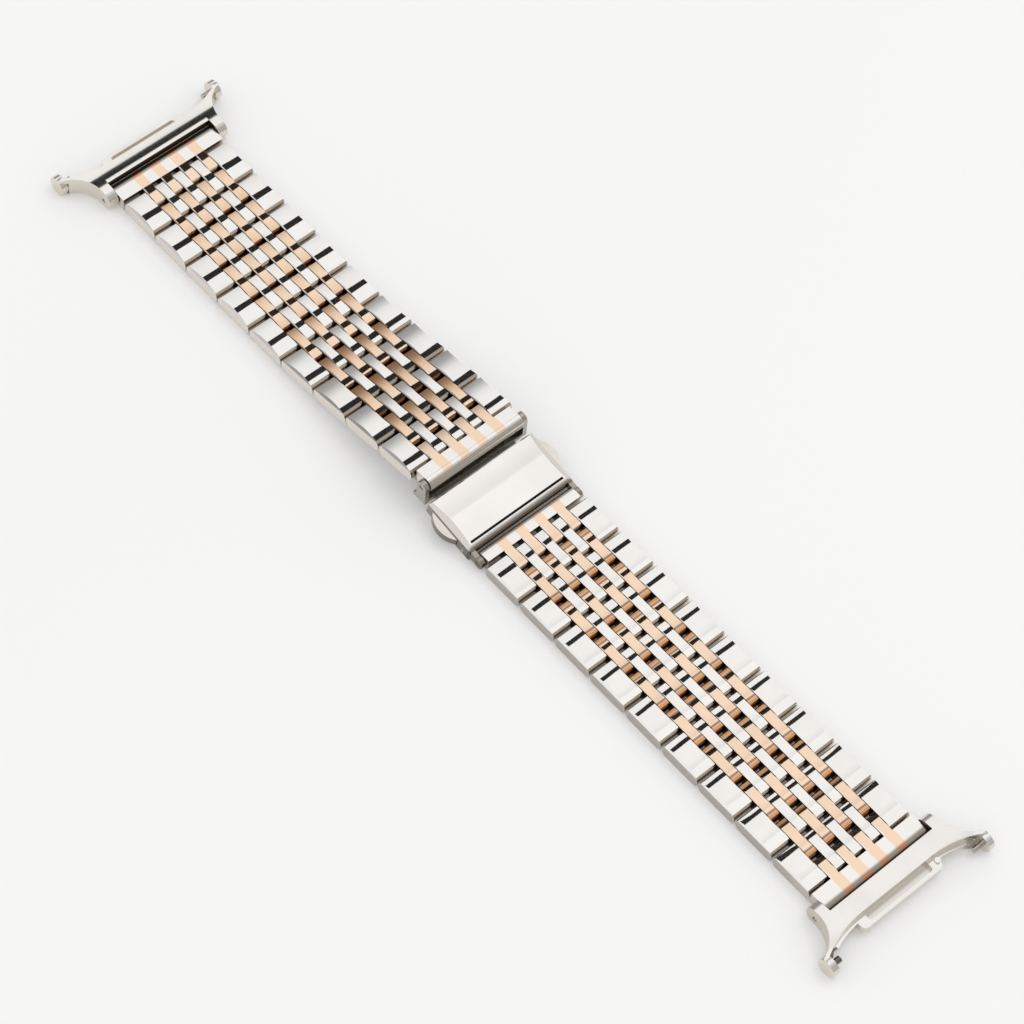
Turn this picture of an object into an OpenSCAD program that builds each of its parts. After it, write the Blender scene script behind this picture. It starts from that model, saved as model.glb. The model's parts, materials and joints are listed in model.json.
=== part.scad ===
// Steel and rose gold watch bracelet with a folding push button clasp.
// All sizes are in millimetres and degrees.
// X runs along the strap from side a to side b, Z is up, and the floor is z = 0.

/* [Strap] */
// Width across the nine columns of blocks
strap_w = 20; // [18:0.5:24]
// Length of one row, from joint line to joint line
row_pitch = 7.8; // [7.6:0.1:8.6]
// Thickness of a block at its crown
block_t = 2.6; // [2.5:0.05:2.8]
// Width of each outer column
outer_col_w = 3.8; // [3.4:0.1:4.4]
// Gap between the ends of two blocks in one column
row_gap = 0.34; // [0.32:0.02:0.44]
// Gap between the sides of two columns
col_gap = 0.1; // [0.08:0.01:0.14]
// Height that the top of a block loses from its middle to its ends
crown_drop = 0.36; // [0.28:0.02:0.44]
// Radius of the rolled ends of a block
end_r = 1.15; // [1:0.05:1.2]
// Width of the eased edges along a block
col_ease = 0.16; // [0.12:0.02:0.2]
// Radius of the link pins
pin_r = 0.45; // [0.4:0.05:0.5]

/* [Adaptors] */
// Length of the end links at the adaptors, from the joint line to the spring bar
adaptor_off = 2.9; // [2.6:0.1:3.2]
// Thickness of the ears that hold a spring bar
ear_t = 1.7; // [1.5:0.1:2]
// Radius of the round end of an ear
ear_r = 1.7; // [1.6:0.05:1.85]
// Distance from the spring bar to the middle of the discs at the wing tips
wing_reach = 6.7; // [6.4:0.1:7.4]
// Distance of the discs at the wing tips from the middle of the strap
wing_half = 15.5; // [15:0.1:16.2]
// Radius of the discs at the wing tips
disc_r = 1.6; // [1.4:0.05:1.8]
// Thickness of the discs at the wing tips
disc_t = 1.1; // [0.9:0.1:1.3]
// Radius of the pegs that enter the watch case
peg_r = 0.5; // [0.4:0.05:0.6]
// Length of the pegs
peg_len = 1.6; // [1.4:0.1:1.8]
// Half width of the tab between the wings
tab_half = 8; // [7.4:0.1:8.4]
// Half length of the pocket in the tab
pocket_half = 6.3; // [5.4:0.1:6.6]

/* [Clasp] */
// Length of the cover along the strap
cover_len = 10; // [9.6:0.1:10.2]
// Tilt of the cover down towards side b
cover_tilt = 10; // [9:0.5:11]
// Height of the side walls of the cover
wall_h = 2.8; // [2.7:0.05:2.9]
// Length of each push button along the strap
button_len = 5.8; // [5.2:0.1:6]
// Distance that a button stands out from the wall
button_out = 1.3; // [1.1:0.1:1.6]
// Thickness of the ears of the clasp
clasp_ear_t = 0.8; // [0.7:0.05:1]
// Width of the bevelled shoulders of the cover
shoulder_w = 1; // [0.8:0.1:1.2]
// Radius of the bend of the blades
blade_r = 70; // [66:1:80]
// Thickness of each blade
blade_t = 0.7; // [0.6:0.05:0.7]
// Width of the blades under the strap
blade_w = 16; // [14:0.5:16.4]

/* [Hidden] */
$fn = 64;
rows = 9;
last = 2 * rows;
half_t = block_t / 2;
half_w = strap_w / 2;
pin_step = row_pitch / 2;
narrow_w = (strap_w - 2 * outer_col_w) / 7;
// reach of the shapes that cut right through
through = 2 * strap_w;

// fits
press = 0.01;
running = 0.04;
pin_short = 0.5;
ear_gap = 0.15;

// end links and spring bars
clasp_off_a = 2.3;
clasp_off_b = 1.5;
bar_r = 0.7;
tip_r = 0.42;
ear_in = half_w + ear_gap;
ear_out = ear_in + ear_t;

// adaptor, measured from its spring bar
seat_r = half_t + 0.14;
lip_x = 1;
ear_z = ear_r - half_t;
tip_y = wing_half + disc_t / 2;
disc_z = disc_r - half_t;
plate_end = wing_reach - 2.6;
case_y = 0.35 * strap_w;
ledge = 0.55;
tab_end = plate_end + 2;
tab_z = 1;
pocket_z = 0.2;
pocket_rim = 0.6;
roof_z = 0.7;
core_half = case_y + 2;
core_z = -0.6;
side_wall = 1;
peg_room = 0.9;
peg_z = disc_z - 0.3;
crest_x = wing_reach - 3.4;
crest_r = 30;
crest_z = ear_z + ear_r + crest_r - sqrt(crest_r * crest_r - crest_x * crest_x);

// clasp hinge heights and places, measured from the cover hinge
hinge_z = 1.2;
knuckle_r = 1.05;
hinge_pin_r = 0.55;
cover_hinge_x = 0.5;
fold_x = -24.5;
bar_a_x = -9.3;
bar_a_z = 6.3;
bar_b_x = cover_hinge_x + 3.45;
bar_b_z = 1.3;
blade_gap = 0.1;
clasp_ear_r = 1;
clasp_half = half_w - clasp_ear_t;
clasp_ear_in = clasp_half + ear_gap;
clasp_ear_out = clasp_ear_in + clasp_ear_t;
middle_knuckle = blade_w / 2 - 3.6;

// cover, buttons and latch, in the frame of the cover
cover_b = 1.75;
cover_a = cover_b - cover_len;
cover_top = 1.9;
cover_half = ear_in + 0.1;
wall_t = 1;
roof_t = 0.6;
button_mid = cover_b - 5.9;
button_z = 0.35;
button_h = 1.5;
button_slack = 0.08;
post_x0 = button_mid - 1.6;
post_x1 = button_mid + 1.6;
post_w = 1.6;
head_w = 2.6;
plate_z0 = 0.46;
plate_z1 = 0.8;

// Steepness of each piece of a side, from the clasp outwards, as a share of the steepest
share_a = [0.6, 0.78, 0.9, 1, 1, 0.95, 0.85, 0.68, 0.45, 0.2, 0.05,
    0, 0, 0, 0, 0, 0, 0, 0, 0];
share_b = [1, 0.8, 0.5, 0.2, 0, 0, 0, 0, 0, 0, 0, 0, 0, 0, 0, 0, 0, 0, 0, 0];
function clasp_off(side) = side == "a" ? clasp_off_a : clasp_off_b;
function seg_len(side, k) =
    pin_step / 2 + (k == 0 ? clasp_off(side) : k == last ? adaptor_off : pin_step / 2);
function sum_to(v, n) = n < 0 ? 0 : v[n] + sum_to(v, n - 1);
function fall(side, share, steepest) =
    sum_to([for (k = [0:last]) seg_len(side, k) * sin(steepest * share[k])], last);
function steepest(side, share, drop) =
    let (first = asin(drop / sum_to([for (k = [0:last]) seg_len(side, k) * share[k]], last)))
    drop == 0 ? 0 : first * drop / fall(side, share, first);
headings_a = -steepest("a", share_a, bar_a_z - half_t) * share_a;
headings_b = -steepest("b", share_b, bar_b_z - half_t) * share_b;
function headings(side) = side == "a" ? headings_a : headings_b;
function along(side, k) =
    k == 0 ? 0 : along(side, k - 1) + seg_len(side, k - 1) * cos(headings(side)[k - 1]);
function climb(side, k) =
    k == 0 ? 0 : climb(side, k - 1) + seg_len(side, k - 1) * sin(headings(side)[k - 1]);

// place of the middle of the whole bracelet, which becomes x = 0
reach_a = bar_a_x - along("a", last + 1) - wing_reach - disc_r;
reach_b = bar_b_x + along("b", last + 1) + wing_reach + disc_r;
mid_x = (reach_a + reach_b) / 2;

steel = [0.86, 0.86, 0.85];
satin = [0.72, 0.72, 0.71];
rose = [0.93, 0.72, 0.57];
dark = [0.5, 0.5, 0.5];

sides = ["a", "b"];

// Puts its children at the start of piece k of a side, heading outwards along +X.
module on_strap(side, k) {
    start = side == "a" ? [bar_a_x, bar_a_z] : [bar_b_x, bar_b_z];
    translate([start[0] - mid_x, 0, start[1]])
        rotate([0, 0, side == "a" ? 180 : 0])
            translate([along(side, k), 0, climb(side, k)])
                rotate([0, -headings(side)[k], 0])
                    children();
}

// Puts its children in the tilted frame of the cover, with the cover hinge at the origin.
module on_cover() {
    translate([cover_hinge_x - mid_x, 0, hinge_z])
        rotate([0, cover_tilt, 0])
            children();
}

// Stands a flat X Z outline up and gives it a width along Y.
module across(y0, y1) {
    translate([0, y1, 0])
        rotate([90, 0, 0])
            linear_extrude(y1 - y0)
                children();
}

module along_y(r, y0, y1) {
    translate([0, y1, 0])
        rotate([90, 0, 0])
            cylinder(r = r, h = y1 - y0);
}

module round_box(len, tall, r) {
    square([len - 2 * r, tall], center = true);
    square([len, tall - 2 * r], center = true);
    for (sx = [-1, 1], sz = [-1, 1])
        translate([sx * (len / 2 - r), sz * (tall / 2 - r)])
            circle(r);
}

// Crowned outline of a block seen from the side of the strap.
module block_outline(len) {
    crown_r = (len * len / 4 + crown_drop * crown_drop) / (2 * crown_drop);
    belly_drop = crown_drop / 2;
    belly_r = (len * len / 4 + belly_drop * belly_drop) / (2 * belly_drop);
    intersection() {
        round_box(len, block_t, end_r);
        translate([0, half_t - crown_r])
            circle(crown_r, $fn = 128);
        translate([0, belly_r - half_t])
            circle(belly_r, $fn = 128);
    }
}

function col_start(c) = -half_w + (c == 0 ? 0 : outer_col_w + (c - 1) * narrow_w);
function col_end(c) = c == 8 ? half_w : -half_w + outer_col_w + c * narrow_w;

// Upright bars of the columns first, first + 2 and so on, with eased top edges.
module column_bars(first, x0, x1) {
    outer_ease = 2.25 * col_ease;
    for (c = [first:2:8]) {
        y0 = col_start(c) + (c == 0 ? 0 : col_gap / 2);
        y1 = col_end(c) - (c == 8 ? 0 : col_gap / 2);
        left = c == 0 ? outer_ease : col_ease;
        right = c == 8 ? outer_ease : col_ease;
        translate([x0, 0, 0])
            rotate([90, 0, 90])
                linear_extrude(x1 - x0)
                    polygon([[y0, -half_t - 1], [y1, -half_t - 1], [y1, half_t - right],
                        [y1 - right, half_t], [y0 + left, half_t], [y0, half_t - left]]);
    }
}

module pins(r, short) {
    for (x = [-pin_step / 2, pin_step / 2])
        translate([x, 0, 0])
            along_y(r, short - half_w, half_w - short);
}

// A row of blocks, drawn about its middle.
module row(first, hole_r, short) {
    len = row_pitch - row_gap;
    difference() {
        intersection() {
            across(-half_w, half_w)
                block_outline(len);
            column_bars(first, -len / 2, len / 2);
        }
        pins(hole_r, short);
    }
}

module steel_row(side, i) {
    color(steel)
        on_strap(side, 2 * i - 1)
            translate([pin_step / 2, 0, 0]) {
                row(0, pin_r + press, pin_short - press);
                pins(pin_r, pin_short);
            }
}

module rose_row(side, i) {
    color(rose)
        on_strap(side, 2 * i)
            translate([pin_step / 2, 0, 0])
                row(1, pin_r + running, 0);
}

// One piece end of the strap: a barrel for the spring bar and fingers in the rose columns.
module end_link(off, half) {
    body_end = off - row_gap / 2;
    finger_end = off + pin_step - row_gap / 2;
    difference() {
        union() {
            across(-half, half) {
                circle(half_t);
                translate([0, -half_t])
                    square([body_end, block_t]);
            }
            intersection() {
                across(-half_w, half_w)
                    intersection() {
                        translate([body_end - row_pitch / 2 + pin_step, 0])
                            block_outline(row_pitch);
                        translate([body_end - 0.5, -block_t])
                            square([finger_end + 1, 2 * block_t]);
                    }
                column_bars(1, body_end - 0.5, finger_end + 1);
            }
        }
        along_y(bar_r + running, -through, through);
        translate([off + pin_step / 2, 0, 0])
            along_y(pin_r + running, -half_w + 1, half_w - 1);
    }
}

// Spring bar with a shoulder inside each ear and a thin tip in the ear's hole.
module spring_bar(half, tip_end) {
    along_y(bar_r, 0.1 - half, half - 0.1);
    along_y(tip_r, -tip_end, tip_end);
}

// Radius of the arc that starts flat at one point and passes through another, run and rise away.
function arc_r(run, rise) = (run * run + rise * rise) / (2 * rise);

// The outer edge of a wing flares from the ear to the tip.
flare_x = 0.3;
flare_r = arc_r(wing_reach - 0.8 - flare_x, tip_y - ear_out);
// The other edge is straight in the middle and then follows the watch case.
case_r = arc_r(wing_half - 0.3 - case_y, wing_reach - 0.55 - plate_end);

// Outline of the adaptor from above, for positive y, with its edge at the case moved out by step.
module wing_plan(step) {
    difference() {
        translate([-ear_r - 1, 0])
            square([wing_reach + ear_r + 2.2, tip_y]);
        translate([-ear_r - 2, ear_out])
            square([ear_r + 2 + flare_x, through]);
        translate([flare_x, ear_out + flare_r])
            circle(flare_r, $fn = 96);
        translate([plate_end + case_r, case_y])
            circle(case_r - step, $fn = 96);
        translate([plate_end + step, -1])
            square([through, case_y + 1]);
    }
}

// Outline of the adaptor from the side: round ear, gently arched top, round nose.
module wing_side() {
    nose_r = 2.4;
    nose_x = wing_reach - 1.3;
    intersection() {
        translate([-ear_r, -half_t])
            square([ear_r + wing_reach + disc_r, half_t + crest_z]);
        translate([crest_x, crest_z - crest_r])
            circle(crest_r, $fn = 128);
        union() {
            translate([-ear_r, -half_t])
                square([ear_r + nose_x, through]);
            translate([nose_x, crest_z - nose_r])
                circle(nose_r);
        }
        union() {
            translate([0, -half_t])
                square([through, through]);
            translate([0, ear_z])
                circle(ear_r);
        }
    }
}

// Tab between the wings, round at its ends and along its lower edge.
module tab() {
    corner = 0.9;
    tall = tab_z + 0.5;
    intersection() {
        translate([0, 0, -0.5])
            linear_extrude(tall) {
                square([2 * (tab_end - corner), 2 * tab_half], center = true);
                square([2 * tab_end, 2 * (tab_half - corner)], center = true);
                for (s = [-1, 1])
                    translate([tab_end - corner, s * (tab_half - corner)])
                        circle(corner);
            }
        across(-tab_half, tab_half) {
            translate([plate_end - 1, -0.5])
                square([tab_end - plate_end + 0.5, tall]);
            translate([tab_end - 0.5, 0])
                square([0.5, tab_z]);
            translate([tab_end - 0.5, 0])
                circle(0.5);
        }
    }
    // head of the lock
    translate([plate_end + 0.75, tab_half - 0.3, pocket_z])
        cylinder(r = 0.45, h = tab_z + 0.1);
}

// What is cut out of the adaptor.
module adaptor_cuts() {
    // seat of the end link's barrel between the ears
    along_y(seat_r, -ear_in, ear_in);
    translate([-5, -ear_in, -block_t])
        cube([5.9, 2 * ear_in, 3 * block_t]);
    translate([-5, -ear_in, 0])
        cube([5 + lip_x, 2 * ear_in, 3 * block_t]);
    along_y(tip_r + press, -through, through);
    // rolled lip above the seat
    lip_end = 1.8;
    lip_r = 8;
    lip_tilt = asin((crest_x - lip_end) / crest_r);
    lip_z = crest_z - crest_r + crest_r * cos(lip_tilt);
    across(-ear_in, ear_in)
        difference() {
            translate([-1, 0])
                square([lip_end + 1, crest_z + 1]);
            translate([lip_end + lip_r * sin(lip_tilt), lip_z - lip_r * cos(lip_tilt)])
                circle(lip_r, $fn = 96);
        }
    // pocket of the tab
    translate([plate_end, 0, pocket_z])
        linear_extrude(tab_z)
            intersection() {
                translate([tab_end - pocket_rim - plate_end - 2, 0])
                    round_box(4, 2 * pocket_half, 0.5);
                translate([0, -pocket_half])
                    square([4, 2 * pocket_half]);
            }
    // underside of the middle
    translate([-5, -ear_in, -block_t])
        cube([5 + plate_end + 3, 2 * ear_in, block_t + core_z]);
    // hollow under each wing, inside its outer wall
    for (s = [0, 1])
        mirror([0, s, 0])
            translate([0, 0, -block_t])
                linear_extrude(block_t + roof_z)
                    difference() {
                        translate([lip_x + 1.4, core_half])
                            square([wing_reach, wing_half]);
                        translate([flare_x, ear_out + flare_r])
                            circle(flare_r + side_wall, $fn = 96);
                    }
    // room around each peg for the rim of the watch case
    for (s = [0, 1])
        mirror([0, s, 0])
            translate([wing_reach, 0, peg_z])
                along_y(peg_r + peg_room, core_half, wing_half - disc_t / 2);
    // shallow arch under the outer walls
    arch_rise = 0.35;
    arch_half = (wing_reach - 2) / 2;
    across(-through, through)
        translate([wing_reach / 2, -half_t + arch_rise - arc_r(arch_half, arch_rise)])
            circle(arc_r(arch_half, arch_rise), $fn = 96);
}

module adaptor() {
    difference() {
        union() {
            intersection() {
                union()
                    for (s = [0, 1])
                        mirror([0, s, 0]) {
                            translate([0, 0, -half_t])
                                linear_extrude(3 * block_t)
                                    wing_plan(0);
                            translate([0, 0, -half_t])
                                linear_extrude(half_t + tab_z)
                                    wing_plan(ledge);
                        }
                across(-tip_y, tip_y)
                    wing_side();
            }
            tab();
        }
        adaptor_cuts();
    }
    // round discs at the wing tips with the pegs for the watch case
    for (s = [-1, 1]) {
        translate([wing_reach, s * wing_half, disc_z])
            along_y(disc_r, -disc_t / 2, disc_t / 2);
        translate([wing_reach, s * (wing_half - disc_t / 2 - peg_len / 2 + 0.1), peg_z])
            along_y(peg_r, -peg_len / 2 - 0.1, peg_len / 2 + 0.1);
    }
}

// Bent strip of a blade between two places along X.
module blade_strip(r, x0, x1) {
    mid = (cover_hinge_x + fold_x) / 2;
    half_chord = (cover_hinge_x - fold_x) / 2;
    centre_z = hinge_z - sqrt(blade_r * blade_r - half_chord * half_chord);
    intersection() {
        translate([mid - mid_x, centre_z])
            difference() {
                circle(r + blade_t / 2, $fn = 256);
                circle(r - blade_t / 2, $fn = 256);
            }
        translate([x0 - mid_x, -1])
            square([x1 - x0, 6]);
    }
}

module outer_blade() {
    color(satin)
        difference() {
            union() {
                across(-blade_w / 2, blade_w / 2)
                    blade_strip(blade_r, fold_x, cover_hinge_x);
                translate([fold_x - mid_x, 0, hinge_z])
                    along_y(knuckle_r, -middle_knuckle, middle_knuckle);
                translate([cover_hinge_x - mid_x, 0, hinge_z])
                    along_y(knuckle_r, -blade_w / 2, blade_w / 2);
                latch_post();
            }
            for (s = [-1, 1])
                translate([fold_x - mid_x - 2, s * (middle_knuckle + 4) - 4, -1])
                    cube([2 + knuckle_r + 0.25, 8, 6]);
            translate([fold_x - mid_x, 0, hinge_z])
                along_y(hinge_pin_r + press, -through, through);
            translate([cover_hinge_x - mid_x, 0, hinge_z])
                along_y(hinge_pin_r + running, -through, through);
        }
}

// Latch post that stands on the outer blade under the cover.
module latch_post() {
    on_cover() {
        translate([post_x0, -post_w / 2, -0.1])
            cube([post_x1 - post_x0, post_w, plate_z1 + 0.3]);
        translate([post_x0, -head_w / 2, plate_z1 + 0.06])
            cube([post_x1 - post_x0, head_w, 0.3]);
    }
}

module inner_blade() {
    inner_r = blade_r + blade_t + blade_gap;
    color(satin)
        difference() {
            union() {
                across(-blade_w / 2, blade_w / 2)
                    blade_strip(inner_r, fold_x, bar_a_x);
                across(-clasp_ear_out, clasp_ear_out)
                    blade_strip(inner_r, bar_a_x - clasp_ear_r - 0.6, bar_a_x + clasp_ear_r);
                for (s = [-1, 1])
                    translate([fold_x - mid_x, s * (blade_w / 4 + middle_knuckle / 2 + 0.05), hinge_z])
                        along_y(knuckle_r, -(blade_w / 4 - middle_knuckle / 2 - 0.05),
                            blade_w / 4 - middle_knuckle / 2 - 0.05);
                for (s = [-1, 1])
                    translate([bar_a_x - mid_x, s * (clasp_ear_in + clasp_ear_t / 2), 0])
                        across(-clasp_ear_t / 2, clasp_ear_t / 2) {
                            translate([0, bar_a_z])
                                circle(clasp_ear_r);
                            translate([-clasp_ear_r, 3])
                                square([2 * clasp_ear_r, bar_a_z - 3]);
                        }
            }
            translate([fold_x - mid_x - 2, -middle_knuckle - 0.1, -1])
                cube([2 + knuckle_r + 0.25, 2 * middle_knuckle + 0.2, 6]);
            translate([fold_x - mid_x, 0, hinge_z])
                along_y(hinge_pin_r + running, -through, through);
            translate([bar_a_x - mid_x, 0, bar_a_z])
                along_y(tip_r + press, -through, through);
        }
}

module fold_pin() {
    color(dark)
        translate([fold_x - mid_x, 0, hinge_z])
            along_y(hinge_pin_r, -blade_w / 2, blade_w / 2);
}

// Side outline of the cover: arched top, rolled lip at side b, chamfer at side a.
module cover_outline() {
    arch_r = 6 * cover_len;
    lip_r = 1.1;
    edge = 0.22;
    low = cover_top - wall_h;
    intersection() {
        translate([(cover_a + cover_b) / 2, cover_top - arch_r])
            circle(arch_r, $fn = 256);
        union() {
            polygon([[cover_a, low], [cover_b - lip_r, low], [cover_b - lip_r, cover_top + 1],
                [cover_a + edge, cover_top + 1], [cover_a + edge, cover_top - 0.2],
                [cover_a, cover_top - 0.2 - edge]]);
            translate([cover_b - lip_r, low])
                square([lip_r, wall_h - lip_r - 0.15]);
            translate([cover_b - lip_r, cover_top - lip_r - 0.15])
                circle(lip_r);
        }
    }
}

module clasp_cover() {
    top_half = cover_half - shoulder_w;
    shoulder_h = 0.45 * shoulder_w;
    ear_x = bar_b_x - cover_hinge_x;
    ear_local = [ear_x * cos(cover_tilt) - (bar_b_z - hinge_z) * sin(cover_tilt),
        ear_x * sin(cover_tilt) + (bar_b_z - hinge_z) * cos(cover_tilt)];
    color(steel)
        on_cover()
            difference() {
                union() {
                    intersection() {
                        across(-cover_half, cover_half)
                            cover_outline();
                        translate([cover_a - 1, 0, 0])
                            rotate([90, 0, 90])
                                linear_extrude(cover_len + 2)
                                    polygon([[-cover_half, -3], [cover_half, -3],
                                        [cover_half, cover_top - shoulder_h], [top_half, cover_top],
                                        [-top_half, cover_top], [-cover_half, cover_top - shoulder_h]]);
                    }
                    for (s = [-1, 1])
                        translate([0, s * (clasp_ear_in + clasp_ear_t / 2), 0])
                            across(-clasp_ear_t / 2, clasp_ear_t / 2) {
                                translate(ear_local)
                                    circle(clasp_ear_r);
                                translate([cover_b - 1.4, ear_local[1] - 0.8])
                                    square([ear_local[0] - cover_b + 1.4, 1.6]);
                            }
                }
                // groove between the top and the rolled lip
                translate([cover_b - 1.35, 0, cover_top - 0.1])
                    along_y(0.14, 0.1 - top_half, top_half - 0.1);
                // hollow underneath, open at side a
                translate([cover_a - 1, wall_t - cover_half, -5])
                    cube([cover_len + 1 - 0.5, 2 * (cover_half - wall_t), 5 + cover_top - roof_t]);
                // seat of the end link's barrel between the ears
                translate([ear_local[0], 0, ear_local[1]])
                    along_y(half_t + 0.14, -clasp_ear_in, clasp_ear_in);
                translate([cover_b + 0.01, -clasp_ear_in, -3])
                    cube([6, 2 * clasp_ear_in, 6]);
                translate([ear_local[0], 0, ear_local[1]])
                    along_y(tip_r + press, -through, through);
                along_y(hinge_pin_r + press, -through, through);
                // windows for the buttons
                translate([button_mid - button_len / 2 - button_slack, -through,
                    button_z - button_h / 2 - button_slack])
                    cube([button_len + 2 * button_slack, 2 * through, button_h + 2 * button_slack]);
            }
}

module cover_pin() {
    color(dark)
        on_cover()
            along_y(hinge_pin_r, 0.1 - cover_half, cover_half - 0.1);
}

// A push button on the +Y side with its catch plate.
module button() {
    face = cover_half + button_out;
    back = cover_half - wall_t - 0.05;
    half = button_len / 2;
    flat = face - button_out + 0.1;
    sag = face - flat;
    arc_r = (half * half + sag * sag) / (2 * sag);
    rail = 0.8;
    rail_gap = 0.3;
    far = head_w / 2 + 0.05;
    translate([button_mid, 0, button_z - button_h / 2])
        linear_extrude(button_h) {
            translate([-half, back])
                square([button_len, flat - back]);
            intersection() {
                translate([0, face - arc_r])
                    circle(arc_r, $fn = 96);
                translate([-half, flat - 0.01])
                    square([button_len, 5]);
            }
        }
    translate([0, 0, plate_z0])
        linear_extrude(plate_z1 - plate_z0) {
            translate([post_x1 + rail_gap, -far - 1])
                square([rail, back + far + 1.2]);
            translate([button_mid + 0.15, -far - 1])
                square([post_x1 + rail_gap - button_mid, 1]);
        }
}

module button_right() {
    color(satin)
        on_cover()
            button();
}

module button_left() {
    color(satin)
        on_cover()
            translate([2 * button_mid, 0, 0])
                rotate([0, 0, 180])
                    button();
}

module clasp_link(side) {
    color(steel)
        on_strap(side, 0)
            end_link(clasp_off(side), clasp_half);
}

module adaptor_link(side) {
    color(steel)
        on_strap(side, last)
            translate([seg_len(side, last), 0, 0])
                rotate([0, 0, 180])
                    end_link(adaptor_off, half_w);
}

module clasp_bar(side) {
    color(dark)
        on_strap(side, 0)
            spring_bar(clasp_half, clasp_ear_out - 0.1);
}

module adaptor_bar(side) {
    color(dark)
        on_strap(side, last + 1)
            spring_bar(half_w, ear_out - 0.2);
}

module adaptor_piece(side) {
    color(satin)
        on_strap(side, last + 1)
            adaptor();
}

outer_blade();
inner_blade();
fold_pin();
clasp_cover();
cover_pin();
button_left();
button_right();
for (s = sides) {
    clasp_bar(s);
    clasp_link(s);
    for (i = [1:rows])
        steel_row(s, i);
    for (i = [1:rows - 1])
        rose_row(s, i);
    adaptor_link(s);
    adaptor_bar(s);
    adaptor_piece(s);
}
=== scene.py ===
"""Two-tone steel and rose gold watch bracelet, laid out open on a pale glossy table."""

import json
import math

import bmesh
import bpy
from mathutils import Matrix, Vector


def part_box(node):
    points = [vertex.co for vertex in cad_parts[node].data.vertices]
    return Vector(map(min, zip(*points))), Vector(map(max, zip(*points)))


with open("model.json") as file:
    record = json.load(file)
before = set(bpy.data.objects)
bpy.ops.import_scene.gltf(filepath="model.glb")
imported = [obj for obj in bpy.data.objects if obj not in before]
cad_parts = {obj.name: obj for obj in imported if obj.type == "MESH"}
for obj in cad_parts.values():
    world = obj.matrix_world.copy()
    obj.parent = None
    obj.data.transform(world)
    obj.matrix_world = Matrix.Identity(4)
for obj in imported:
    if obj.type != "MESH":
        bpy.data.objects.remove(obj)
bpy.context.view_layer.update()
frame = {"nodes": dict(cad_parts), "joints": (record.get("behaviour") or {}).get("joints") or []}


def pivot(name):
    """Where a hinge of the bracelet lies."""
    return next(joint["pos_m"] for joint in frame["joints"] if joint["name"] == name)


# Places on the bracelet, in metres. Half a lies at x below 0 and half b above it.
MM = 0.001
HALF_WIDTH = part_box("steel_row_b1")[1][1]
ADAPTOR_BAR = pivot("adaptor_b_hinge")[0]
COVER_PIN_X, _, COVER_PIN_Z = pivot("cover_hinge")
NARROW_COLUMNS = 7
NARROW_WIDTH = 12.4 * MM
STRIPE = NARROW_WIDTH / NARROW_COLUMNS
LINK_EDGE = ADAPTOR_BAR - 0.3 * MM

# On the adaptors, where reach counts outwards from the spring bar, aside from the middle line
# and top from the table.
POCKET_REACH = (4.2 * MM, 5.45 * MM)
POCKET_ASIDE = 6.3 * MM
POCKET_TOP = 1.7 * MM
BRINK_REACH = 1.05 * MM
BRINK_ASIDE = 10.2 * MM
PEG_REACH = 5.3 * MM
PEG_ASIDE = (12.9 * MM, 14.94 * MM)
PEG_TOP = 2.6 * MM

# On the cover, counted along its tilted roof from the hinge pin towards half b.
COVER_TILT = math.radians(10)
GROOVE_MIDDLE = 0.4 * MM
GROOVE_HALF = 0.2 * MM
GROOVE_ASIDE = 9.2 * MM
LIP_SHADE = (0.75 * MM, 1.5 * MM)
EARS_START = 1.7 * MM

# Heights of the unevenness that the blocks have in their material only.
SWELL = 0.014 * MM
BRUSH_MARKS = 0.004 * MM

# Tones of the metals, as linear colours. The tones of the rolled ends, outer sides, gap faces, link
# edges, pegs, adaptor brink and sides, cover shoulders, walls, lip, ears and groove, button rims and
# inner steel hold painted shade; the adaptor pocket tone is painted light.
STEEL = (0.94, 0.93, 0.91, 1)
STEEL_CLOUD_AND_END_SHADE = (0.66, 0.6, 0.53, 1)
STEEL_SATIN_SIDE_SHADE = (0.86, 0.8, 0.74, 1)
STEEL_GAP_SHADE = (0.06, 0.05, 0.045, 1)
STEEL_LINK_EDGE_SHADE = (0.3, 0.27, 0.23, 1)
ROSE = (0.97, 0.745, 0.565, 1)
ROSE_END_SHADE = (0.6, 0.29, 0.12, 1)
ROSE_SHADE_LINE = (0.2, 0.1, 0.05, 1)
ROSE_GAP_SHADE = (0.09, 0.04, 0.02, 1)
ROSE_LINK_EDGE_SHADE = (0.45, 0.22, 0.13, 1)
ADAPTOR_TOP = (0.92, 0.905, 0.88, 1)
ADAPTOR_TOP_DULL = (0.86, 0.84, 0.81, 1)
ADAPTOR_SATIN_SIDE_SHADE = (0.8, 0.74, 0.66, 1)
ADAPTOR_POCKET_FILL_LIGHT = (0.8, 0.78, 0.74, 1)
ADAPTOR_BRINK_SHADE = (0.14, 0.11, 0.09, 1)
NEAR_PEG_DEEP_SHADE = (0.2, 0.18, 0.16, 1)
FAR_PEG_SHADE = (0.55, 0.52, 0.47, 1)
COVER_TOP = (0.95, 0.935, 0.91, 1)
COVER_TOP_DULL = (0.9, 0.885, 0.86, 1)
COVER_SHOULDER_SHADE = (0.7, 0.67, 0.63, 1)
COVER_WALL_SHADE = (0.36, 0.33, 0.3, 1)
COVER_LIP_SHADE = (0.2, 0.16, 0.12, 1)
COVER_EAR_SHADE = (0.4, 0.36, 0.32, 1)
COVER_GROOVE_SHADE = (0.03, 0.028, 0.025, 1)
BUTTON_TOP = (0.8, 0.77, 0.72, 1)
BUTTON_TOP_DULL = (0.72, 0.69, 0.64, 1)
BUTTON_RIM_SHADE = (0.3, 0.27, 0.235, 1)
INNER_STEEL_SHADE = (0.5, 0.47, 0.43, 1)

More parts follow.
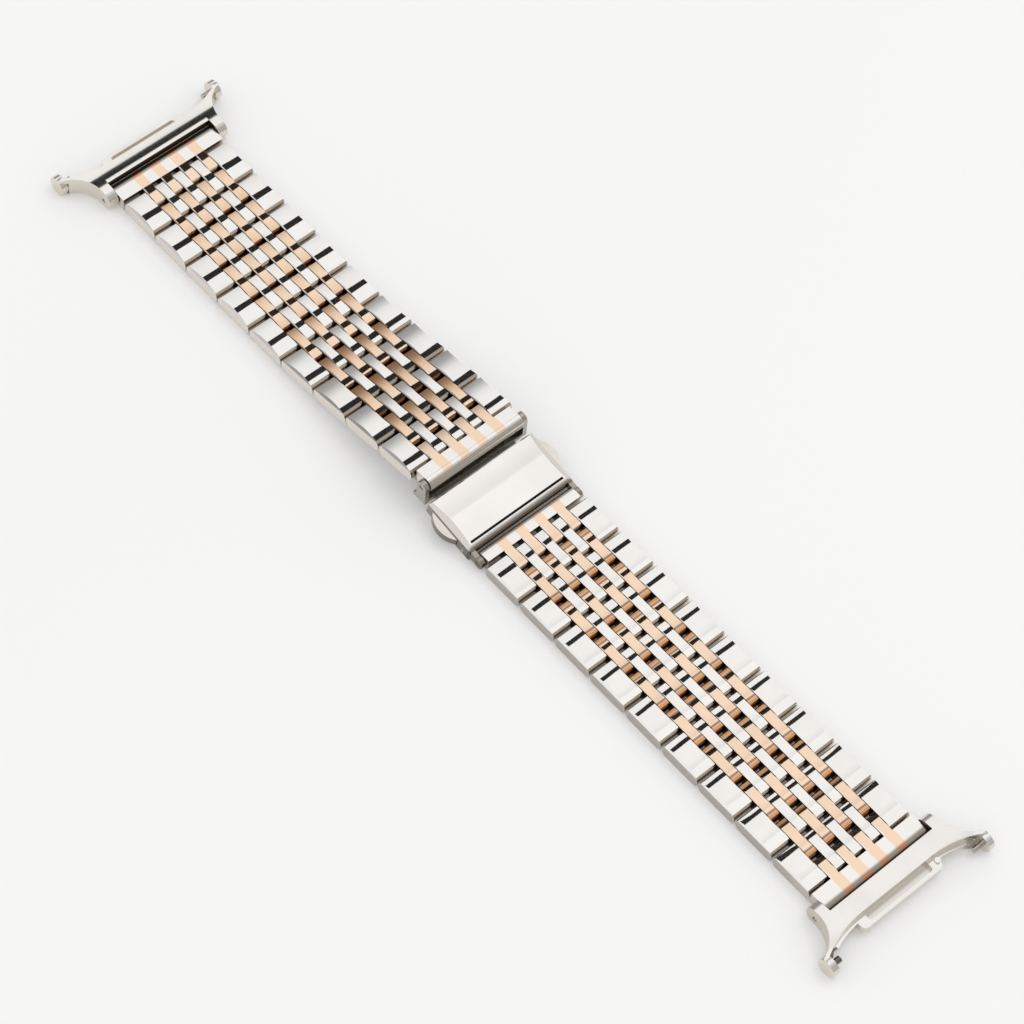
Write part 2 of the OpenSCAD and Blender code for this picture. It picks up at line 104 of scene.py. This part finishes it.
# The table, the surroundings and the cards that mirrors see.
BLACK = (0, 0, 0, 1)
CARD_BLACK = (0.02, 0.02, 0.02, 1)
TABLE_WHITE = (0.727, 0.727, 0.721, 1)
TABLE_GLOW = (0.19, 0.19, 0.19, 1)
TABLE_MIRROR_SHADE = 0.41
TABLE_MIRROR_SHADE_ALONG = (0.0, 0.079)
ROOM_LIGHT = (0.93, 0.93, 0.926, 1)
BACKDROP = (0.92, 0.92, 0.912, 1)
TENT_CLOTH = (1, 0.985, 0.97, 1)


class Wire:
    """A node's output. Sums of wires and numbers add the Math nodes that work them out."""

    def __init__(self, bench, socket):
        self.bench = bench
        self.socket = socket

    def maths(self, operation, *values):
        return self.bench.add("ShaderNodeMath", {"operation": operation}, dict(enumerate(values)))

    def __add__(self, other):
        return self.maths("ADD", self, other)

    __radd__ = __add__

    def __sub__(self, other):
        return self.maths("SUBTRACT", self, other)

    def __rsub__(self, other):
        return self.maths("SUBTRACT", other, self)

    def __mul__(self, other):
        return self.maths("MULTIPLY", self, other)

    __rmul__ = __mul__

    def __truediv__(self, other):
        return self.maths("DIVIDE", self, other)

    def __rtruediv__(self, other):
        return self.maths("DIVIDE", other, self)

    def __abs__(self):
        return self.maths("ABSOLUTE", self)

    def fraction(self):
        return self.maths("FRACT", self)

    def ramp(self, low, high):
        """Rises smoothly from 0 at low to 1 at high."""
        return self.bench.add("ShaderNodeMapRange", {"interpolation_type": "SMOOTHSTEP"},
                              {"Value": self, "From Min": low, "From Max": high}, out="Result")

    def above(self, edge, soft=0.0):
        """1 where the value is over the edge, with a smooth step as wide as soft."""
        if not soft:
            return self.maths("GREATER_THAN", self, edge)
        return self.ramp(edge - soft / 2, edge + soft / 2)

    def below(self, edge, soft=0.0):
        return 1 - self.above(edge, soft)

    def between(self, low, high, soft=0.0):
        return self.above(low, soft) * self.below(high, soft)


class Bench:
    """Builds one node tree."""

    def __init__(self, tree):
        self.tree = tree

    def add(self, kind, settings=None, sockets=None, out=0):
        """Adds a node. Its settings are set first, then its sockets get their values or links."""
        node = self.tree.nodes.new(kind)
        for name, value in (settings or {}).items():
            if name == "stops":
                set_stops(node.color_ramp, value)
            else:
                setattr(node, name, value)
        for name, value in (sockets or {}).items():
            self.plug(node.inputs[name], value)
        return Wire(self, node.outputs[out]) if node.outputs else None

    def plug(self, socket, value):
        if isinstance(value, Wire):
            self.tree.links.new(value.socket, socket)
        else:
            socket.default_value = value

    def mix(self, amount, first, second):
        """The first colour where the amount is 0 and the second where it is 1.

        The node's colour sockets share their names with others, so they go by number.
        """
        return self.add("ShaderNodeMix", {"data_type": "RGBA"}, {0: amount, 6: first, 7: second}, out=2)

    def split(self, vector):
        """The x, y and z of a vector."""
        parts = self.add("ShaderNodeSeparateXYZ", sockets={"Vector": vector}).socket.node.outputs
        return [Wire(self, part) for part in parts]


class Finish(Bench):
    """A material that knows the place of each point on a piece and which way it faces."""

    def __init__(self, name, metallic=1.0):
        self.material = bpy.data.materials.new(name)
        self.material.use_nodes = True
        super().__init__(self.material.node_tree)
        self.place = self.add("ShaderNodeTexCoord", out="Object")
        self.x, self.y, self.z = self.split(self.place)
        self.face_x, self.face_y, self.face_z = self.split(self.add("ShaderNodeTexCoord", out="Normal"))
        self.set({"Metallic": metallic})

    def set(self, values):
        """Sets or links inputs of the material's shader."""
        for name, value in values.items():
            self.plug(self.tree.nodes["Principled BSDF"].inputs[name], value)

    def noise(self, scale, detail=2, stretch=(1, 1, 1)):
        spot = self.add("ShaderNodeMapping", sockets={"Vector": self.place, "Scale": stretch})
        return self.add("ShaderNodeTexNoise", sockets={"Vector": spot, "Scale": scale, "Detail": detail})

    def clouded(self, bright, dull, scale, full=0.75):
        """Drifts from one tone to the other in soft clouds."""
        return self.mix(self.noise(scale, detail=3).ramp(0.3, full), bright, dull)

    def flank(self):
        """1 on the faces that look along the pins."""
        return abs(self.face_y).above(0.9, 0.1)


def set_stops(ramp, stops):
    while len(ramp.elements) > 1:
        ramp.elements.remove(ramp.elements[-1])
    ramp.elements[0].position, ramp.elements[0].color = stops[0]
    for position, colour in stops[1:]:
        ramp.elements.new(position).color = colour


def dimmed(colour, share):
    return tuple(share * part for part in colour[:3]) + (1,)


def block_finish(name, colour, end, gap, roll_a, roll_b, shade_line=None):
    """Polished tops; painted shade on the rolled ends, with an optional painted dark line where they
    begin; satin outer sides with a painted shade in their colour; painted shade on the faces to the next
    column.

    A roll is the lean at which the painted shade of the rolled end starts and the one where it is full.
    """
    metal = Finish(name)
    half_b = metal.x.above(0)
    lean = abs(metal.face_x)
    ends = half_b * lean.ramp(*roll_b) + (1 - half_b) * lean.ramp(*roll_a)
    flank = metal.flank()
    outer = flank * abs(metal.y).above(HALF_WIDTH - 0.02 * MM)
    inner = flank * (1 - outer)
    # The rolled ends take a painted shade by the lean of their faces.
    tone = metal.mix(ends, metal.clouded(colour, dimmed(colour, 0.95), 160), end)
    # A painted dark line where the rolled end begins on half b, and painted shade down the steep part of
    # the end.
    if shade_line:
        line = half_b * lean.between(0.118, 0.136, 0.01) + lean.above(0.5, 0.3)
        tone = metal.mix(line * 0.75, tone, shade_line)
    # The outer sides are satin; their darker, warmer colour is a painted shade.
    tone = metal.mix(outer, tone, STEEL_SATIN_SIDE_SHADE)
    # Painted shade on the faces towards the next column.
    tone = metal.mix(inner, tone, gap)
    grain = metal.noise(900, stretch=(0.3, 1, 1))
    bumps = SWELL * metal.noise(230, detail=1) + BRUSH_MARKS * outer * grain
    rough = 0.02 + 0.02 * grain + 0.3 * outer + 0.25 * inner + 0.12 * ends * (1 - flank)
    normal = metal.add("ShaderNodeBump", sockets={"Height": bumps, "Distance": 1.0})
    metal.set({"Base Color": tone, "Roughness": rough, "Normal": normal})
    return metal.material


def link_finish():
    """Steel end pieces with rose gold plating over the rose columns, and painted shade on their rolled
    ends, their inner flanks and the edge next to the adaptor; their outer sides are satin with a painted
    shade in their colour.
    """
    metal = Finish("striped_link")
    beat = (metal.y / (2 * STRIPE) + 0.25).fraction()
    columns = abs(metal.y).below(NARROW_WIDTH / 2)
    rose = beat.above(0.5) * columns * metal.face_z.above(0.86, 0.1)
    ends = abs(metal.face_x).ramp(0.3, 0.7)
    flank = metal.flank()
    outer = flank * abs(metal.y).above(0.9 * HALF_WIDTH)
    # Painted shade on the rolled ends of the links.
    tone = metal.mix(rose, metal.mix(ends, STEEL, STEEL_CLOUD_AND_END_SHADE), ROSE)
    tone = metal.mix(metal.noise(160, detail=3).ramp(0.35, 0.8) * 0.06, tone, STEEL_CLOUD_AND_END_SHADE)
    # Satin outer sides with a painted shade in their colour, and painted shade on the inner flanks.
    tone = metal.mix(outer, tone, STEEL_SATIN_SIDE_SHADE)
    tone = metal.mix(flank * (1 - outer), tone, STEEL_GAP_SHADE)
    # Painted shade along the edge next to the adaptor.
    edge = abs(metal.x).above(LINK_EDGE, soft=0.6 * MM)
    tone = metal.mix(edge, tone, metal.mix(rose, STEEL_LINK_EDGE_SHADE, ROSE_LINK_EDGE_SHADE))
    grain = metal.noise(900, stretch=(0.3, 1, 1))
    metal.set({"Base Color": tone, "Roughness": 0.03 + 0.02 * grain + 0.27 * outer + 0.06 * ends})
    return metal.material


def adaptor_finish():
    """Polished plate; satin sides with painted shade in their colour; painted light in the pocket; a
    painted dark line along the brink by the strap; painted shade round the pegs, deeper on the near
    side.
    """
    metal = Finish("adaptor_steel")
    reach = abs(metal.x) - ADAPTOR_BAR
    aside = abs(metal.y)
    top = metal.face_z.ramp(0.55, 0.85)
    pocket = reach.between(*POCKET_REACH) * aside.below(POCKET_ASIDE) * metal.z.below(POCKET_TOP)
    brink = reach.below(BRINK_REACH) * aside.below(BRINK_ASIDE)
    pegs = reach.above(PEG_REACH) * aside.between(*PEG_ASIDE) * metal.z.below(PEG_TOP)
    # The sides are satin; their darker colour is a painted shade.
    tone = metal.mix(top, ADAPTOR_SATIN_SIDE_SHADE, metal.clouded(ADAPTOR_TOP, ADAPTOR_TOP_DULL, 130))
    # Painted light in the pocket, lifting its shade.
    tone = metal.mix(pocket, tone, ADAPTOR_POCKET_FILL_LIGHT)
    # A painted dark line of shade along the brink by the strap.
    tone = metal.mix(brink, tone, ADAPTOR_BRINK_SHADE)
    # Painted shade round the pegs, deeper on the near side.
    tone = metal.mix(pegs, tone, metal.mix(metal.y.above(0), NEAR_PEG_DEEP_SHADE, FAR_PEG_SHADE))
    grain = metal.noise(700, stretch=(1, 0.1, 1))
    metal.set({"Base Color": tone, "Roughness": 0.05 + 0.03 * grain + 0.2 * (1 - top) + 0.15 * pocket})
    return metal.material


def cover_finish():
    """Polished roof, with painted shade in its groove and on its shoulders, lip, walls and ears."""
    metal = Finish("cover_steel")
    along = ((metal.x - COVER_PIN_X) * math.cos(COVER_TILT)
             - (metal.z - COVER_PIN_Z) * math.sin(COVER_TILT))
    tilt = abs(metal.face_y)
    shoulder = tilt.between(0.2, 0.9, 0.1)
    wall = tilt.above(0.9, 0.06)
    ears = along.above(EARS_START)
    groove = abs(along - GROOVE_MIDDLE).below(GROOVE_HALF) * abs(metal.y).below(GROOVE_ASIDE)
    tone = metal.clouded(COVER_TOP, COVER_TOP_DULL, 120)
    # Painted shade on the shoulders, walls, lip and ears.
    tone = metal.mix(shoulder, tone, COVER_SHOULDER_SHADE)
    tone = metal.mix(wall, tone, COVER_WALL_SHADE)
    tone = metal.mix(along.ramp(*LIP_SHADE), tone, COVER_LIP_SHADE)
    tone = metal.mix(ears, tone, COVER_EAR_SHADE)
    # Painted shade in the groove.
    tone = metal.mix(groove, tone, COVER_GROOVE_SHADE)
    rough = 0.03 + 0.02 * metal.noise(800) + 0.12 * shoulder + 0.2 * wall + 0.1 * ears
    metal.set({"Base Color": tone, "Roughness": rough})
    return metal.material


def button_finish():
    """Light satin tops, with painted shade on the rims."""
    metal = Finish("button_steel")
    top = metal.clouded(BUTTON_TOP, BUTTON_TOP_DULL, 200, full=0.7)
    # Painted shade on the rims, by the lean of the faces.
    tone = metal.mix(metal.face_z.ramp(0.5, 0.9), BUTTON_RIM_SHADE, top)
    metal.set({"Base Color": tone, "Roughness": 0.1 + 0.08 * metal.noise(800, stretch=(1, 1, 0.2))})
    return metal.material


def plain_finish(name, roughness, stretch=(1, 1, 1)):
    """Brushed steel of the pins and blades, darkened by a painted shade; stretch draws its grain out
    along an axis.
    """
    metal = Finish(name)
    # A darker steel tone, painted shade.
    tone = metal.clouded(INNER_STEEL_SHADE, dimmed(INNER_STEEL_SHADE, 0.95), 200, full=0.7)
    grain = metal.noise(700, stretch=stretch)
    metal.set({"Base Color": tone, "Roughness": roughness * (0.8 + 0.4 * grain)})
    return metal.material


def dress_bracelet():
    """Gives each piece the finish of the first word here that its name holds."""
    pins = plain_finish("pin_steel", 0.25)
    steel = block_finish("polished_steel", STEEL, STEEL_CLOUD_AND_END_SHADE, STEEL_GAP_SHADE,
                         roll_a=(0.3, 0.7), roll_b=(0.25, 0.6))
    rose = block_finish("rose_gold", ROSE, ROSE_END_SHADE, ROSE_GAP_SHADE,
                        roll_a=(0.03, 0.4), roll_b=(0.11, 0.17), shade_line=ROSE_SHADE_LINE)
    finishes = {
        "steel_row": steel,
        "rose_row": rose,
        "_link_": link_finish(),
        "_bar_": pins,
        "_pin": pins,
        "_blade": plain_finish("blade_steel", 0.22, stretch=(0.1, 1, 1)),
        "button": button_finish(),
        "cover": cover_finish(),
        "adaptor": adaptor_finish(),
    }
    for name, piece in frame["nodes"].items():
        finish = next(finish for word, finish in finishes.items() if word in name)
        piece.data.materials.clear()
        piece.data.materials.append(finish)


def make_sheet(name, low, high, height, finish):
    """A flat sheet of the stage between two corners."""
    sheet = bmesh.new()
    bmesh.ops.create_grid(sheet, x_segments=1, y_segments=1, size=0.5)
    bmesh.ops.scale(sheet, verts=sheet.verts, vec=(high[0] - low[0], high[1] - low[1], 1))
    middle = ((low[0] + high[0]) / 2, (low[1] + high[1]) / 2, height)
    bmesh.ops.translate(sheet, verts=sheet.verts, vec=middle)
    mesh = bpy.data.meshes.new(name)
    sheet.to_mesh(mesh)
    sheet.free()
    mesh.materials.append(finish.material)
    thing = bpy.data.objects.new(name, mesh)
    bpy.context.scene.collection.objects.link(thing)
    return thing


def make_table():
    """The pale glossy table under the bracelet.

    Camera and mirrors see it with a faint glow. Mirrors see a painted shade on it on half b's near side.
    """
    cloth = Finish("table_white", metallic=0.0)
    camera = cloth.add("ShaderNodeLightPath", out="Is Camera Ray")
    glossy = cloth.add("ShaderNodeLightPath", out="Is Glossy Ray")
    near_b = cloth.x.between(*TABLE_MIRROR_SHADE_ALONG, soft=0.02) * cloth.y.below(0.0, soft=0.01)
    # Painted shade that mirrors see on half b's near side.
    shade = glossy * near_b * TABLE_MIRROR_SHADE
    cloth.set({
        "Roughness": 0.22,
        "Specular IOR Level": 0.35,
        "Emission Strength": 1.0,
        "Base Color": cloth.mix(shade, TABLE_WHITE, BLACK),
        "Emission Color": cloth.mix((camera + glossy) * (1 - shade), BLACK, TABLE_GLOW),
    })
    make_sheet("table_top", (-4, -4), (4, 4), -0.02 * MM, cloth)


def make_card(name, low, high, height):
    """A black card over the table that only mirrors see. It draws dark bands on the metal."""
    paint = Finish(name + "_black", metallic=0.0)
    paint.set({"Base Color": CARD_BLACK, "Roughness": 1.0})
    card = make_sheet(name, low, high, height, paint)
    card.visible_camera = False
    card.visible_diffuse = False
    card.visible_shadow = False
    card.visible_transmission = False


# What polished metal mirrors, by the lean of the mirrored ray along the strap in degrees:
# a white tent that darkens low down on both sides, with a faint fold over the middle.
TENT = [(-90, 0.3), (-66, 0.3), (-58, 0.42), (-52, 0.66), (-47, 0.85), (-41, 0.92),
        (-30, 0.95), (-15, 0.97), (-12, 0.95), (-8.3, 0.87), (-7.1, 0.86), (-6.5, 0.99), (3, 0.98),
        (8, 0.86), (13, 0.58), (20, 0.7), (30, 0.62), (42, 0.48), (56, 0.4), (62, 0.62),
        (70, 0.58), (78, 0.4), (90, 0.3)]


def make_room():
    """The tent for mirrored rays, and plain light for all others."""
    world = bpy.data.worlds.new("white_tent")
    bpy.context.scene.world = world
    world.use_nodes = True
    world.node_tree.nodes.clear()
    room = Bench(world.node_tree)
    x, _, z = room.split(room.add("ShaderNodeTexCoord", out="Generated"))
    lean = x.maths("ARCTAN2", x, z)
    stops = [((angle + 90) / 180, dimmed(TENT_CLOTH, level)) for angle, level in TENT]
    mirrored = room.add("ShaderNodeValToRGB", {"stops": stops}, {"Fac": lean / math.pi + 0.5})
    glossy = room.add("ShaderNodeLightPath", out="Is Glossy Ray")
    camera = room.add("ShaderNodeLightPath", out="Is Camera Ray")
    colour = room.mix(camera, room.mix(glossy, ROOM_LIGHT, mirrored), BACKDROP)
    light = room.add("ShaderNodeBackground", sockets={"Color": colour, "Strength": 1.0})
    room.add("ShaderNodeOutputWorld", sockets={"Surface": light})


def make_lamp(place, size, power):
    """A soft lamp that shines on the clasp and that mirrors don't see."""
    light = bpy.data.lights.new("key_lamp", "AREA")
    light.size = size
    light.energy = power
    lamp = bpy.data.objects.new("key_lamp", light)
    lamp.location = place
    lamp.rotation_euler = (-Vector(place)).to_track_quat("-Z", "Y").to_euler()
    lamp.visible_glossy = False
    bpy.context.scene.collection.objects.link(lamp)


def make_camera(place, turn, lens):
    """The photograph's viewpoint, found from the joint lines of both straps."""
    data = bpy.data.cameras.new("camera")
    data.sensor_width = 36
    data.lens = lens
    camera = bpy.data.objects.new("camera", data)
    camera.location = place
    camera.rotation_euler = [math.radians(angle) for angle in turn]
    bpy.context.scene.collection.objects.link(camera)
    bpy.context.scene.camera = camera


dress_bracelet()
make_table()
make_room()
make_card("near_card", (-0.618, 0.1), (-0.52, 0.8), height=1.0)
make_card("far_card", (-1.274, 0.2), (-1.114, 1.6), height=2.0)
make_lamp(place=(0.12, 0.5, 1.1), size=0.6, power=1.5)
make_camera(place=(0.20576, -0.21269, 0.45669), turn=(32.661, -3.336, 48.807), lens=126.65)
bpy.context.scene.view_settings.view_transform = "Standard"
